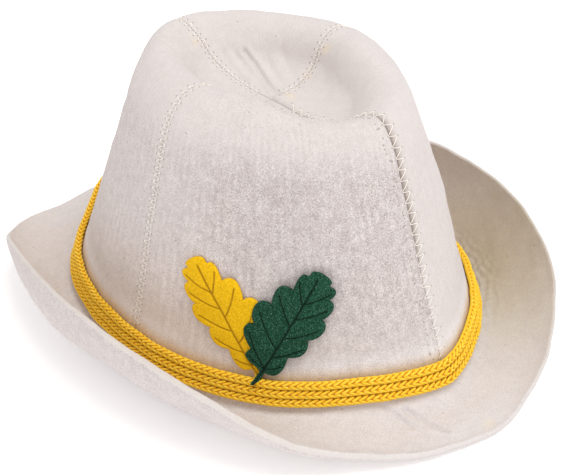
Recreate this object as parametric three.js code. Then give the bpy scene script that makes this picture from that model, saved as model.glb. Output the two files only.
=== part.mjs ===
// A Tyrolean hat of thick wool felt: a crown of four sewn gores with a long dent in its top,
// a brim turned up at both sides, a band of three knitted cords and two felt oak leaves.
// Millimetres. The front is -Y, the wearer's left is +X and up is +Z. It rests on the plane z = 0.
import * as THREE from "three";

// Felt and sewing
const FELT = 3; // thickness of the crown's and the brim's felt
const SEAM_GAP = 0.3; // between two felt edges that are sewn together

// Crown, measured at the middle of its felt
const HEAD_LENGTH = 215; // the crown's foot, front to back, without its two points
const HEAD_WIDTH = 167; // the crown's foot, side to side
const FRONT_POINT = 5; // how far the front seam stands out of the oval as a soft corner
const BACK_POINT = 7; // the same at the back seam
const POINT_SPAN = 40; // degrees of the oval that each point takes on each side
const TOP_LENGTH = 142; // the crown's shoulder, front to back
const TOP_WIDTH = 113; // the crown's shoulder, side to side
const CROWN_HEIGHT = 116; // from the foot to the shoulder
const DENT_DEPTH = 19.5; // from the shoulder to the middle of the dent's floor
const FOOT_WAVE = 5; // how far the crown's foot swings up and down on its way round
const WALL_STRAIGHT = 0.67; // share of the wall where the bend to the shoulder starts
const SIDE_SEAM = 92; // degrees from the front to each side seam

// Brim
const BRIM_WIDTH = 44; // from the break to the rim
const BREAK_RADIUS = 4.5; // inside radius of the bend between crown and brim
const REST_PRESS = 2.2; // how deep the brim's lowest places are pressed flat by its weight

// Cord band
const CORD_DIAMETER = 3.8;
const CORD_GAP = 0.3; // between two cords, and between the cords and the felt
const CORD_SEAT = 0.9; // height of the lowest cord's middle above the crown's foot

// Leaves
const LEAF_FELT = 1.5; // thickness of the leaves' craft felt
const LEAF_GAP = 0.3; // between a leaf and what it lies on
const LEAF_LENGTH = 52; // blade of each leaf, along its midrib
const LEAF_WIDTH = 33; // blade of each leaf, across its widest lobes
const LOBE_LEAN = 0.3; // how far a lobe's tip lies ahead of its root, as a share of its reach
const LEAN_FADE = 0.11; // share of the blade at each end over which that lean fades out
const STEM_LENGTH = 3.5;
const STEM_WIDTH = 2;
const LEAF_ANGLE = 53; // degrees from the front seam to the foot of both leaves
const STEM_CLEAR = 0.5; // between the stems' ends and the uppermost cord

// Sections of the crown's wall, by degrees from the front. Shares: foot of the head oval, rise of
// FOOT_WAVE, shoulder of the top oval, height of CROWN_HEIGHT.
const WALL_SECTIONS = [
  { angle: 0, foot: 1.0, rise: 0.1, shoulder: 1.03, height: 1.0 },
  { angle: 30, foot: 0.99, rise: 0.1, shoulder: 0.96, height: 1.0 },
  { angle: 60, foot: 1.005, rise: -0.4, shoulder: 0.93, height: 1.01 },
  { angle: 90, foot: 1.0, rise: -0.4, shoulder: 1.0, height: 1.0 },
  { angle: 120, foot: 1.005, rise: -0.2, shoulder: 0.93, height: 0.99 },
  { angle: 150, foot: 0.98, rise: 0.4, shoulder: 0.91, height: 1.0 },
  { angle: 180, foot: 1.0, rise: 0.8, shoulder: 0.97, height: 1.01 },
];

// Sections of the dent in the top. Shares: its edge and its floor of the shoulder, and how far each
// lies above the shoulder or above the middle of the floor, of DENT_DEPTH.
const DENT_SECTIONS = [
  { angle: 0, edge: 0.81, edgeLift: -0.08, floor: 0.51, floorLift: -0.1 },
  { angle: 30, edge: 0.77, edgeLift: -0.03, floor: 0.49, floorLift: -0.08 },
  { angle: 60, edge: 0.66, edgeLift: 0.24, floor: 0.47, floorLift: -0.08 },
  { angle: 90, edge: 0.62, edgeLift: 0.24, floor: 0.46, floorLift: -0.08 },
  { angle: 120, edge: 0.66, edgeLift: 0.1, floor: 0.48, floorLift: -0.06 },
  { angle: 150, edge: 0.74, edgeLift: -0.1, floor: 0.49, floorLift: -0.03 },
  { angle: 180, edge: 0.77, edgeLift: -0.2, floor: 0.51, floorLift: 0 },
];

// Sections of the brim: its slope in degrees at the break and at the rim, and its width as a share
// of BRIM_WIDTH.
const BRIM_SECTIONS = [
  { angle: 0, start: -44, end: 28, width: 0.83 },
  { angle: 30, start: -33, end: 43, width: 0.88 },
  { angle: 60, start: 18, end: 76, width: 1.0 },
  { angle: 90, start: 22, end: 99, width: 1.04 },
  { angle: 120, start: -9, end: 109, width: 0.99 },
  { angle: 150, start: -42, end: 38, width: 0.95 },
  { angle: 180, start: -45, end: -28, width: 0.945 },
];

// Lobes of an oak leaf from its foot to its tip: where each one ends along the midrib, and how far
// it and the notch behind it reach out, as shares of LEAF_LENGTH and of half of LEAF_WIDTH.
const FRONT_LOBES = [
  { end: 0.19, reach: 0.42, notch: 0.08 },
  { end: 0.38, reach: 0.7, notch: 0.36 },
  { end: 0.59, reach: 0.86, notch: 0.54 },
  { end: 0.77, reach: 0.78, notch: 0.6 },
  { end: 0.89, reach: 0.62, notch: 0.53 },
  { end: 1.0, reach: 0.38, notch: 0.4 },
];
const BACK_LOBES = [
  { end: 0.08, reach: 0.62, notch: 0.08 },
  { end: 0.25, reach: 1.0, notch: 0.56 },
  { end: 0.49, reach: 1.07, notch: 0.78 },
  { end: 0.72, reach: 0.82, notch: 0.7 },
  { end: 0.9, reach: 0.47, notch: 0.43 },
  { end: 1.0, reach: 0.25, notch: 0.3 },
];

// Each leaf: its lean in degrees towards the front, how far its blade starts in front of the stem's
// end as a share of STEM_LENGTH, whether it is turned over, and how many leaves lie under it.
const LEAVES = [
  { name: "leaf_yellow", lean: -31, ahead: -0.7, turnedOver: true, under: 0, colour: 0xf2c21a },
  { name: "leaf_green", lean: 29, ahead: 0.6, turnedOver: false, under: 1, colour: 0x14553a },
];

const FELT_COLOUR = 0xe4dbd8;
const CORD_COLOUR = 0xf5b823;

// How finely the pieces are divided
const GORE_COLUMNS = 10;
const BRIM_COLUMNS = 64;
const WALL_ROWS = 4; // up the crown's lowest bend
const BEND_ROWS = 5; // over each bend above it
const BREAK_ROWS = 2;
const BRIM_ROWS = 7;
const CORD_STEPS = 52;
const CORD_SIDES = 8;
const LEAF_ROWS = 30; // along the blade, with two rows at least to each lobe
const LEAF_COLUMNS = 4;

const CROWN_BENDS = 4; // of the crown's section: wall, shoulder, edge and floor of the dent
const BREAK_SHARE = BREAK_ROWS / (BREAK_ROWS + BRIM_ROWS);
const BREAK_MIDDLE = BREAK_RADIUS + FELT / 2;
const GORE_FACE = FELT / 2 + SEAM_GAP / 2; // a gore's outer face, from the middle of the felt as drafted
const CORD_PITCH = CORD_DIAMETER + CORD_GAP;
const CORD_NAMES = ["cord_lower", "cord_middle", "cord_upper"];
const BAND_TOP = CORD_SEAT + (CORD_NAMES.length - 1) * CORD_PITCH + CORD_DIAMETER / 2;
const UP = new THREE.Vector3(0, 0, 1);
const STEP = 1e-3; // for slopes measured on a surface

const { degToRad, lerp, clamp, smoothstep } = THREE.MathUtils;
const felt = (colour) => new THREE.MeshStandardMaterial({ color: colour, roughness: 0.95, metalness: 0 });

// Degrees from the front, 0 to 180, the same on both sides
function turned(angle) {
  return Math.abs(((((angle + 180) % 360) + 360) % 360) - 180);
}

// A column of a table of sections at any angle, on a smooth curve through its evenly spaced rows
function sectionValue(sections, column, angle) {
  const last = sections.length - 1;
  const place = turned(angle) / (sections[1].angle - sections[0].angle);
  const row = Math.min(Math.floor(place), last - 1);
  const share = place - row;
  const value = (i) => sections[last - Math.abs(last - Math.abs(i))][column];
  const leave = (value(row + 1) - value(row - 1)) / 2;
  const arrive = (value(row + 2) - value(row)) / 2;
  const rest = 1 - share;
  return (
    value(row) * rest * rest * (1 + 2 * share) +
    leave * share * rest * rest +
    value(row + 1) * share * share * (3 - 2 * share) -
    arrive * share * share * rest
  );
}

// A point of an oval round the head's middle
function ovalPoint(angle, length, width, share, height) {
  const turn = degToRad(angle);
  return new THREE.Vector3((-width / 2) * share * Math.sin(turn), (-length / 2) * share * Math.cos(turn), height);
}

// Horizontal direction away from the head oval
function outwardFrom(angle) {
  const turn = degToRad(angle);
  return new THREE.Vector3(-HEAD_LENGTH * Math.sin(turn), -HEAD_WIDTH * Math.cos(turn), 0).normalize();
}

// The crown's foot, with its soft corners at the front and the back seam
function footPoint(angle) {
  const share = sectionValue(WALL_SECTIONS, "foot", angle);
  const rise = FOOT_WAVE * sectionValue(WALL_SECTIONS, "rise", angle);
  const point = ovalPoint(angle, HEAD_LENGTH, HEAD_WIDTH, share, rise);
  const corner = (away) => Math.max(0, 1 - away / POINT_SPAN) ** 2;
  point.y -= FRONT_POINT * corner(turned(angle));
  point.y += BACK_POINT * corner(180 - turned(angle));
  return point;
}

function shoulderPoint(angle) {
  const share = sectionValue(WALL_SECTIONS, "shoulder", angle);
  const height = CROWN_HEIGHT * sectionValue(WALL_SECTIONS, "height", angle);
  return ovalPoint(angle, TOP_LENGTH, TOP_WIDTH, share, height);
}

// The corners that the crown's section bends between: foot, wall, shoulder, dent's edge, floor, middle
function crownCorners(angle) {
  const dent = (column) => sectionValue(DENT_SECTIONS, column, angle);
  const foot = footPoint(angle);
  const shoulder = shoulderPoint(angle);
  const wall = foot.clone().lerp(shoulder, WALL_STRAIGHT);
  const middle = new THREE.Vector3(0, 0, CROWN_HEIGHT - DENT_DEPTH);
  const edge = shoulder.clone().setZ(0).multiplyScalar(dent("edge"));
  edge.z = shoulder.z + DENT_DEPTH * dent("edgeLift");
  const floor = shoulder.clone().setZ(0).multiplyScalar(dent("floor"));
  floor.z = middle.z + DENT_DEPTH * dent("floorLift");
  return [foot, wall, shoulder, edge, floor, middle];
}

// The middle of the crown's felt. along runs from 0 at the foot by one for each bend of the section.
function crownPoint(angle, along) {
  const corners = crownCorners(angle);
  const bends = CROWN_BENDS;
  const bend = clamp(Math.floor(along), 0, bends - 1);
  const between = (i) => corners[i].clone().lerp(corners[i + 1], 0.5);
  const from = bend === 0 ? corners[0] : between(bend);
  const to = bend === bends - 1 ? corners[bends + 1] : between(bend + 1);
  return new THREE.QuadraticBezierCurve3(from, corners[bend + 1], to).getPoint(along - bend);
}

// How far out and up an arc of the given length leads as it turns from one slope to another
function arcStep(fromSlope, toSlope, length) {
  const turn = toSlope - fromSlope;
  if (Math.abs(turn) < STEP) return { out: length * Math.cos(fromSlope), up: length * Math.sin(fromSlope) };
  const radius = length / turn;
  return {
    out: radius * (Math.sin(toSlope) - Math.sin(fromSlope)),
    up: radius * (Math.cos(fromSlope) - Math.cos(toSlope)),
  };
}

// The middle of the brim's felt. along runs from 0 at the rim to 1 at the crown's foot, where the
// brim starts in line with the wall, bends through the break and then curves out to the rim.
function brimPoint(angle, along) {
  const foot = footPoint(angle);
  const wall = shoulderPoint(angle).sub(foot);
  const outward = outwardFrom(angle);
  const lean = Math.atan2(-wall.z, -wall.dot(outward));
  const start = degToRad(sectionValue(BRIM_SECTIONS, "start", angle));
  const end = degToRad(sectionValue(BRIM_SECTIONS, "end", angle));
  const width = BRIM_WIDTH * sectionValue(BRIM_SECTIONS, "width", angle);
  const place = 1 - along;
  const inBreak = Math.min(place / BREAK_SHARE, 1);
  const onBrim = Math.max((place - BREAK_SHARE) / (1 - BREAK_SHARE), 0);
  const slope = lerp(lean, start, inBreak);
  const bend = arcStep(lean, slope, BREAK_MIDDLE * (slope - lean));
  const sweep = arcStep(start, lerp(start, end, onBrim), width * onBrim);
  const point = foot.addScaledVector(outward, bend.out + sweep.out + SEAM_GAP * Math.cos(lean));
  point.z += bend.up + sweep.up + SEAM_GAP * Math.sin(lean);
  return point;
}

// The hat leans until its front and its back touch the plane, where the brim is pressed flat. It is
// also moved until the front and the back of its rim lie equally far from the middle of the frame.
function leant(point, tilt) {
  return point.clone().applyAxisAngle(new THREE.Vector3(1, 0, 0), tilt);
}

function lowestOfBrim(tilt, fromAngle, toAngle) {
  let lowest = leant(brimPoint(fromAngle, 0), tilt);
  for (let angle = fromAngle; angle <= toAngle; angle += 360 / BRIM_COLUMNS)
    for (let row = 0; row <= BRIM_ROWS; row += 1) {
      const point = leant(brimPoint(angle, row / (BRIM_ROWS + BREAK_ROWS)), tilt);
      if (point.z < lowest.z) lowest = point;
    }
  return lowest;
}

function findRest() {
  let tilt = 0;
  for (let turn = 0; turn < 4; turn += 1) {
    const front = lowestOfBrim(tilt, 0, 80);
    const back = lowestOfBrim(tilt, 100, 180);
    tilt -= Math.atan2(back.z - front.z, back.y - front.y);
  }
  const rim = (angle) => leant(brimPoint(angle, 0), tilt).y;
  return { tilt, back: -(rim(0) + rim(180)) / 2, lift: FELT / 2 - REST_PRESS - lowestOfBrim(tilt, 0, 180).z };
}

const REST = findRest();

function rested(point) {
  const placed = leant(point, REST.tilt);
  placed.y += REST.back;
  placed.z += REST.lift;
  return placed;
}

const crownAt = (angle, along) => rested(crownPoint(angle, along));
function brimAt(angle, along) {
  const point = rested(brimPoint(angle, along));
  point.z = Math.max(point.z, FELT / 2);
  return point;
}

// The straight part of the wall, by height above the foot
function wallAt(angle, height) {
  const foot = footPoint(angle);
  const wall = shoulderPoint(angle).sub(foot).normalize();
  return rested(foot.addScaledVector(wall, height));
}

// The way out of a surface whose second measure runs up the hat
function outOf(surface, angle, along) {
  const round = surface(angle + STEP, along).sub(surface(angle - STEP, along));
  const upward = surface(angle, along + STEP).sub(surface(angle, along - STEP));
  const out = upward.cross(round);
  return out.lengthSq() < STEP ** 6 ? rested(UP).sub(rested(new THREE.Vector3())) : out.normalize();
}

// A closed mesh from four-cornered faces. A face with two like corners becomes a triangle.
function closedMesh(name, material, quads) {
  const positions = [];
  for (const [a, b, c, d] of quads)
    for (const corners of [[a, b, c], [a, c, d]]) {
      const [p, q, r] = corners;
      if (p.distanceTo(q) > STEP && q.distanceTo(r) > STEP && r.distanceTo(p) > STEP)
        positions.push(...p.toArray(), ...q.toArray(), ...r.toArray());
    }
  const geometry = new THREE.BufferGeometry();
  geometry.setAttribute("position", new THREE.Float32BufferAttribute(positions, 3));
  geometry.computeVertexNormals();
  const mesh = new THREE.Mesh(geometry, material);
  mesh.name = name;
  return mesh;
}

// The faces of a sheet. outer and inner give its two faces at a column and a row, and a ring has
// no first and last column.
function sheetQuads(outer, inner, columns, rows, ring) {
  const quads = [];
  for (let c = 0; c < columns; c += 1) {
    for (let r = 0; r < rows; r += 1) {
      quads.push([outer(c, r), outer(c, r + 1), outer(c + 1, r + 1), outer(c + 1, r)]);
      quads.push([inner(c, r), inner(c + 1, r), inner(c + 1, r + 1), inner(c, r + 1)]);
    }
    quads.push([outer(c, 0), outer(c + 1, 0), inner(c + 1, 0), inner(c, 0)]);
    quads.push([outer(c, rows), inner(c, rows), inner(c + 1, rows), outer(c + 1, rows)]);
  }
  if (!ring)
    for (let r = 0; r < rows; r += 1) {
      quads.push([outer(0, r), inner(0, r), inner(0, r + 1), outer(0, r + 1)]);
      quads.push([outer(columns, r), outer(columns, r + 1), inner(columns, r + 1), inner(columns, r)]);
    }
  return quads;
}

// Heights of the crown's rows, counted in bends
function crownRows() {
  const rows = [];
  for (let row = 0; row < WALL_ROWS; row += 1) rows.push(row / WALL_ROWS);
  for (let row = 0; row <= (CROWN_BENDS - 1) * BEND_ROWS; row += 1) rows.push(1 + row / BEND_ROWS);
  return rows;
}

// One gore between two seams, moved by half a seam's gap away from both
function gore(name, fromAngle, toAngle) {
  const middle = crownPoint((fromAngle + toAngle) / 2, 0);
  const shift = new THREE.Vector3(Math.sign(middle.x), Math.sign(middle.y), 0).multiplyScalar(SEAM_GAP / 2);
  const rows = crownRows();
  const face = (side) => (c, r) => {
    const angle = lerp(fromAngle, toAngle, c / GORE_COLUMNS);
    const out = outOf(crownAt, angle, rows[r]);
    return crownAt(angle, rows[r]).addScaledVector(out, (side * FELT) / 2).add(shift);
  };
  return closedMesh(name, felt(FELT_COLOUR), sheetQuads(face(1), face(-1), GORE_COLUMNS, rows.length - 1, false));
}

function brim() {
  const rows = BRIM_ROWS + BREAK_ROWS;
  const face = (side) => (c, r) => {
    const angle = (360 / BRIM_COLUMNS) * (c % BRIM_COLUMNS);
    const out = outOf(brimAt, angle, r / rows);
    return brimAt(angle, r / rows).addScaledVector(out, (side * FELT) / 2);
  };
  return closedMesh("brim", felt(FELT_COLOUR), sheetQuads(face(1), face(-1), BRIM_COLUMNS, rows, true));
}

// A cord round the crown, its middle at the given height above the foot
function cord(name, height) {
  const lift = GORE_FACE + CORD_GAP + CORD_DIAMETER / 2;
  const point = (step, side) => {
    const angle = (360 / CORD_STEPS) * (step % CORD_STEPS);
    const out = outOf(wallAt, angle, height);
    const upward = wallAt(angle, height + 1).sub(wallAt(angle, height));
    const turn = (2 * Math.PI * (side % CORD_SIDES)) / CORD_SIDES;
    return wallAt(angle, height)
      .addScaledVector(out, lift + (CORD_DIAMETER / 2) * Math.cos(turn))
      .addScaledVector(upward, (CORD_DIAMETER / 2) * Math.sin(turn));
  };
  const quads = [];
  for (let step = 0; step < CORD_STEPS; step += 1)
    for (let side = 0; side < CORD_SIDES; side += 1)
      quads.push([point(step, side), point(step, side + 1), point(step + 1, side + 1), point(step + 1, side)]);
  return closedMesh(name, felt(CORD_COLOUR), quads);
}

// Half of the leaf's width at a share of its length: rounded lobes with notches between them
function lobeReach(lobes, share) {
  let start = 0;
  for (const [i, lobe] of lobes.entries()) {
    if (share <= lobe.end || i === lobes.length - 1) {
      const place = clamp((share - start) / (lobe.end - start), 0, 1);
      const nextNotch = i === lobes.length - 1 ? 0 : lobes[i + 1].notch;
      const notch = lerp(lobe.notch, nextNotch, place);
      const round = Math.sqrt(Math.max(0, 1 - (2 * place - 1) ** 2));
      return (LEAF_WIDTH / 2) * (notch + (lobe.reach - notch) * round);
    }
    start = lobe.end;
  }
  return 0;
}

// A point of a leaf in the plane of the wall, ahead and up from the stems' ends. share runs from the
// stem's end at 0 to the tip at 1, and across from -1 at the back edge to 1 at the front edge.
function leafPlanePoint(shape, share, across) {
  const along = share * (STEM_LENGTH + LEAF_LENGTH) - STEM_LENGTH;
  const foot = { ahead: shape.ahead * STEM_LENGTH, up: STEM_LENGTH };
  if (along <= 0) {
    const left = 1 + along / STEM_LENGTH;
    return { ahead: foot.ahead * left + (across * STEM_WIDTH) / 2, up: foot.up * left };
  }
  const lobes = across < 0 === shape.turnedOver ? FRONT_LOBES : BACK_LOBES;
  const reach = Math.max(lobeReach(lobes, along / LEAF_LENGTH), STEM_WIDTH / 2);
  const fadeLength = LEAN_FADE * LEAF_LENGTH;
  const fade = smoothstep(along, 0, fadeLength) * smoothstep(LEAF_LENGTH - along, 0, fadeLength);
  const forth = along + LOBE_LEAN * reach * Math.abs(across) * fade;
  const lean = degToRad(shape.lean);
  return {
    ahead: foot.ahead + forth * Math.sin(lean) + across * reach * Math.cos(lean),
    up: foot.up + forth * Math.cos(lean) - across * reach * Math.sin(lean),
  };
}

// The leaf lies on the wall: lengths ahead are turned into degrees at their own height
function leafAt(plane, lift) {
  const height = BAND_TOP + STEM_CLEAR + plane.up;
  const perDegree = wallAt(LEAF_ANGLE - 0.5, height).distanceTo(wallAt(LEAF_ANGLE + 0.5, height));
  const angle = LEAF_ANGLE - plane.ahead / perDegree;
  return wallAt(angle, height).addScaledVector(outOf(wallAt, angle, height), lift);
}

function leafRows() {
  const whole = STEM_LENGTH + LEAF_LENGTH;
  const rows = [0, STEM_LENGTH / whole];
  const ends = [...FRONT_LOBES, ...BACK_LOBES].map((lobe) => lobe.end);
  const marks = [0, ...new Set(ends)].sort((a, b) => a - b);
  for (let i = 1; i < marks.length; i += 1) {
    const steps = Math.max(2, Math.round((marks[i] - marks[i - 1]) * LEAF_ROWS));
    for (let step = 1; step <= steps; step += 1)
      rows.push((STEM_LENGTH + LEAF_LENGTH * lerp(marks[i - 1], marks[i], step / steps)) / whole);
  }
  return rows;
}

function leaf(shape) {
  const rows = leafRows();
  const seat = GORE_FACE + LEAF_GAP + shape.under * (LEAF_FELT + LEAF_GAP);
  const face = (lift) => (c, r) => leafAt(leafPlanePoint(shape, rows[r], 1 - (2 * c) / LEAF_COLUMNS), lift);
  const quads = sheetQuads(face(seat + LEAF_FELT), face(seat), LEAF_COLUMNS, rows.length - 1, false);
  return closedMesh(shape.name, felt(shape.colour), quads);
}

const hat = new THREE.Group();
hat.add(gore("crown_front_right", 0, SIDE_SEAM));
hat.add(gore("crown_back_right", SIDE_SEAM, 180));
hat.add(gore("crown_back_left", 180, 360 - SIDE_SEAM));
hat.add(gore("crown_front_left", 360 - SIDE_SEAM, 360));
hat.add(brim());
CORD_NAMES.forEach((name, i) => hat.add(cord(name, CORD_SEAT + i * CORD_PITCH)));
for (const shape of LEAVES) hat.add(leaf(shape));

export default hat;
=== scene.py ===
# %% [markdown]
# # A Tyrolean hat of wool felt
# This lesson dresses the solids of a hat with what the eye sees: thick needle-punched felt, sewn
# seams, a knitted cord band and two oak leaves of craft felt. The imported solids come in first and
# never move. They say where each piece lies, and the pieces made here stand in for them.

# %% The frame
import math

import bpy
import numpy as np
from mathutils import Matrix


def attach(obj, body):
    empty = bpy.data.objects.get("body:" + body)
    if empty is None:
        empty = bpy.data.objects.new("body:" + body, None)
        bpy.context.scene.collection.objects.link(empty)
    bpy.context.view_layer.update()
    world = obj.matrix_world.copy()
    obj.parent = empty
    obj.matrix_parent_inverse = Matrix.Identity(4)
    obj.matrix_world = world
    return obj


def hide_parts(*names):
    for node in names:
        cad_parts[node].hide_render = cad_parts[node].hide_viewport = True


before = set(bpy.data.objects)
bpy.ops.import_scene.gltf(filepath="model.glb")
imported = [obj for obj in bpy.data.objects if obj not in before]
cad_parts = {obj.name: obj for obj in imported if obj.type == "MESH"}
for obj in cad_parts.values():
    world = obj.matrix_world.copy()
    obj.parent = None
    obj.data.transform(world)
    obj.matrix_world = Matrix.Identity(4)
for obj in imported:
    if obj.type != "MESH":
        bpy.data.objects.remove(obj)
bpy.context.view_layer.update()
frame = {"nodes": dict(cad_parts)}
print("solids:", ", ".join(frame["nodes"]))

# %% [markdown]
# The camera comes before the pieces, so that each one can be judged in the photograph's view as soon
# as it exists. It stands about 0.8 m from the hat, behind a lens of 101 mm, which keeps the crown
# from looking stretched. The shift moves the picture's middle to where the photograph has it.

# %% The camera
camera_data = bpy.data.cameras.new("camera")
camera_data.sensor_width = 36.0
camera_data.lens = 101.15
camera_data.shift_x = 0.0227
camera_data.shift_y = -0.05
camera_data.clip_start, camera_data.clip_end = 0.05, 20.0
camera = bpy.data.objects.new("camera", camera_data)
bpy.context.scene.collection.objects.link(camera)
bpy.context.scene.camera = camera

# The camera's own directions and its place in metres, as fitted to the photograph
RIGHT = (0.73466, -0.67753, -0.03495)
UPWARD = (0.37285, 0.36018, 0.85513)
FORWARD = (0.56679, 0.64127, -0.51723)
PLACE = (-0.43253, -0.49237, 0.44821)
matrix = np.eye(4)
matrix[:3, 0], matrix[:3, 1], matrix[:3, 2] = RIGHT, UPWARD, [-value for value in FORWARD]
matrix[:3, 3] = PLACE
camera.matrix_world = Matrix(matrix.tolist())
print("camera", [round(value, 3) for value in camera.location], "lens", round(camera_data.lens, 1), "mm")

# %% [markdown]
# A felt hat is drafted as sections round the head: how wide the foot and the shoulder are, how high
# the wall is and where the dent's edge and floor lie. The same sections as in the solids are used
# here, so the fine felt follows them exactly. A smooth curve through the rows of each table gives
# the values between them. Lengths are millimetres until a mesh is made.

# %% Measures of the crown and the brim
FELT = 3.0
SEAM_GAP = 0.3
HEAD_LENGTH, HEAD_WIDTH = 215.0, 167.0
FRONT_POINT, BACK_POINT, POINT_SPAN = 5.0, 7.0, 40.0
TOP_LENGTH, TOP_WIDTH = 142.0, 113.0
CROWN_HEIGHT, DENT_DEPTH, FOOT_WAVE = 116.0, 19.5, 5.0
WALL_STRAIGHT, SIDE_SEAM = 0.67, 92.0
# The brim, the radius of the bend at its root, and the share of its rows that the bend takes
BRIM_WIDTH, BREAK_MIDDLE, BREAK_SHARE = 44.0, 6.0, 2 / 9
# The hat at rest: its lean in radians, its move along y and its lift. REST_BEND says how softly the
# felt bends up from the table.
TILT, BACK, LIFT = 0.0446044, -1.31285, 15.541956
REST_BEND = 0.8

# Rows at 0, 30, 60, 90, 120, 150 and 180 degrees from the front
WALL = {
    "foot": [1.0, 0.99, 1.005, 1.0, 1.005, 0.98, 1.0],
    "rise": [0.1, 0.1, -0.4, -0.4, -0.2, 0.4, 0.8],
    "shoulder": [1.03, 0.96, 0.93, 1.0, 0.93, 0.91, 0.97],
    "height": [1.0, 1.0, 1.01, 1.0, 0.99, 1.0, 1.01],
}
DENT = {
    "edge": [0.81, 0.77, 0.66, 0.62, 0.66, 0.74, 0.77],
    "edge_lift": [-0.08, -0.03, 0.24, 0.24, 0.1, -0.1, -0.2],
    "floor": [0.51, 0.49, 0.47, 0.46, 0.48, 0.49, 0.51],
    "floor_lift": [-0.1, -0.08, -0.08, -0.08, -0.06, -0.03, 0.0],
}
BRIM = {
    "start": [-44, -33, 18, 22, -9, -42, -45],
    "end": [28, 43, 76, 99, 109, 38, -28],
    "width": [0.83, 0.88, 1.0, 1.04, 0.99, 0.95, 0.945],
}


def turned(angle):
    return np.abs((angle + 180) % 360 - 180)


def section(values, angle):
    """The value at any angle, on a smooth curve through the evenly spaced rows of a table."""
    values = np.array(values, dtype=float)
    last = len(values) - 1
    place = turned(angle) * last / 180
    row = np.minimum(np.floor(place), last - 1).astype(int)
    share = place - row
    rest = 1 - share

    def at(i):
        return values[last - np.abs(last - np.abs(i))]

    leave = (at(row + 1) - at(row - 1)) / 2
    arrive = (at(row + 2) - at(row)) / 2
    return (
        at(row) * rest**2 * (1 + 2 * share)
        + leave * share * rest**2
        + at(row + 1) * share**2 * (3 - 2 * share)
        - arrive * share**2 * rest
    )


def smoothstep(value, low, high):
    share = np.clip((value - low) / (high - low), 0, 1)
    return share * share * (3 - 2 * share)


def bell(value, middle, reach):
    """1 in the middle, falling smoothly to both sides of it: to 0.37 at its reach."""
    return np.exp(-(((value - middle) / reach) ** 2))


def hump(angle, middle, reach):
    """The same for angles, all the way round the hat."""
    return bell((angle - middle + 180) % 360 - 180, 0, reach)


print("slope of the rim at 75 degrees:", round(float(section(BRIM["end"], np.array(75.0))), 1))

# %% [markdown]
# The wall rises nearly straight, turns over the shoulder, sinks into the dent and crosses its floor.
# The section has a corner at each of these turns, and every corner is drawn as one smooth bend
# between the middles of the two lines that meet there. One function gives the middle of the felt at
# any angle and height, and all that lies on the crown asks it.

# %% The crown's surface
STEP = 1e-3  # of an angle or a row, to feel which way a surface runs


def points(x, y, z):
    return np.stack(np.broadcast_arrays(x, y, z), axis=-1).astype(float)


def unit(vectors):
    return vectors / np.maximum(np.linalg.norm(vectors, axis=-1, keepdims=True), 1e-12)


def foot_point(angle):
    turn = np.radians(angle)
    share = section(WALL["foot"], angle)
    front = np.maximum(0, 1 - turned(angle) / POINT_SPAN) ** 2
    back = np.maximum(0, 1 - (180 - turned(angle)) / POINT_SPAN) ** 2
    y = -HEAD_LENGTH / 2 * share * np.cos(turn) - FRONT_POINT * front + BACK_POINT * back
    return points(-HEAD_WIDTH / 2 * share * np.sin(turn), y, FOOT_WAVE * section(WALL["rise"], angle))


def shoulder_point(angle):
    turn = np.radians(angle)
    share = section(WALL["shoulder"], angle)
    x, y = -TOP_WIDTH / 2 * share * np.sin(turn), -TOP_LENGTH / 2 * share * np.cos(turn)
    return points(x, y, CROWN_HEIGHT * section(WALL["height"], angle))


def crown_point(angle, along):
    """The middle of the felt. along is 0 at the foot and grows by one with each bend of the section."""
    angle, along = np.broadcast_arrays(np.asarray(angle, float), np.asarray(along, float))
    foot, shoulder = foot_point(angle), shoulder_point(angle)
    wall = foot + (shoulder - foot) * WALL_STRAIGHT
    floor_height = CROWN_HEIGHT - DENT_DEPTH
    edge = shoulder * section(DENT["edge"], angle)[..., None]
    edge[..., 2] = shoulder[..., 2] + DENT_DEPTH * section(DENT["edge_lift"], angle)
    floor = shoulder * section(DENT["floor"], angle)[..., None]
    floor[..., 2] = floor_height + DENT_DEPTH * section(DENT["floor_lift"], angle)
    middle = points(0 * angle, 0, floor_height)
    corners = np.stack([foot, wall, shoulder, edge, floor, middle], axis=-2)
    between = (corners[..., :-1, :] + corners[..., 1:, :]) / 2
    starts = np.concatenate([corners[..., :1, :], between[..., 1:4, :]], axis=-2)
    ends = np.concatenate([between[..., 1:4, :], corners[..., 5:, :]], axis=-2)
    bend = np.clip(np.floor(along), 0, 3).astype(int)
    start, corner, end = [
        np.take_along_axis(part, bend[..., None, None], axis=-2)[..., 0, :]
        for part in (starts, corners[..., 1:5, :], ends)
    ]
    share = (along - bend)[..., None]
    return (1 - share) ** 2 * start + 2 * share * (1 - share) * corner + share**2 * end


def rested(point):
    """From the draft to the hat at rest: leant, moved and lifted as the solids are."""
    x, y, z = point[..., 0], point[..., 1], point[..., 2]
    cos, sin = math.cos(TILT), math.sin(TILT)
    return points(x, y * cos - z * sin + BACK, y * sin + z * cos + LIFT)


def crown_at(angle, along):
    return rested(crown_point(angle, along))


def wall_at(angle, height):
    """The straight part of the wall, by millimetres above the foot."""
    foot = foot_point(angle)
    return rested(foot + unit(shoulder_point(angle) - foot) * np.asarray(height, float)[..., None])


def out_of(surface, angle, along):
    """The way out of a surface whose second measure runs up the hat."""
    around = surface(angle + STEP, along) - surface(angle - STEP, along)
    upward = surface(angle, along + STEP) - surface(angle, along - STEP)
    out = np.cross(upward, around)
    flat = np.linalg.norm(out, axis=-1, keepdims=True) < 1e-11
    return np.where(flat, [0.0, -math.sin(TILT), math.cos(TILT)], unit(out))


def run_along(line):
    """How far each point of a line lies from its start, measured along it."""
    return np.concatenate([[0], np.cumsum(np.linalg.norm(np.diff(line, axis=0), axis=1))])


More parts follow.
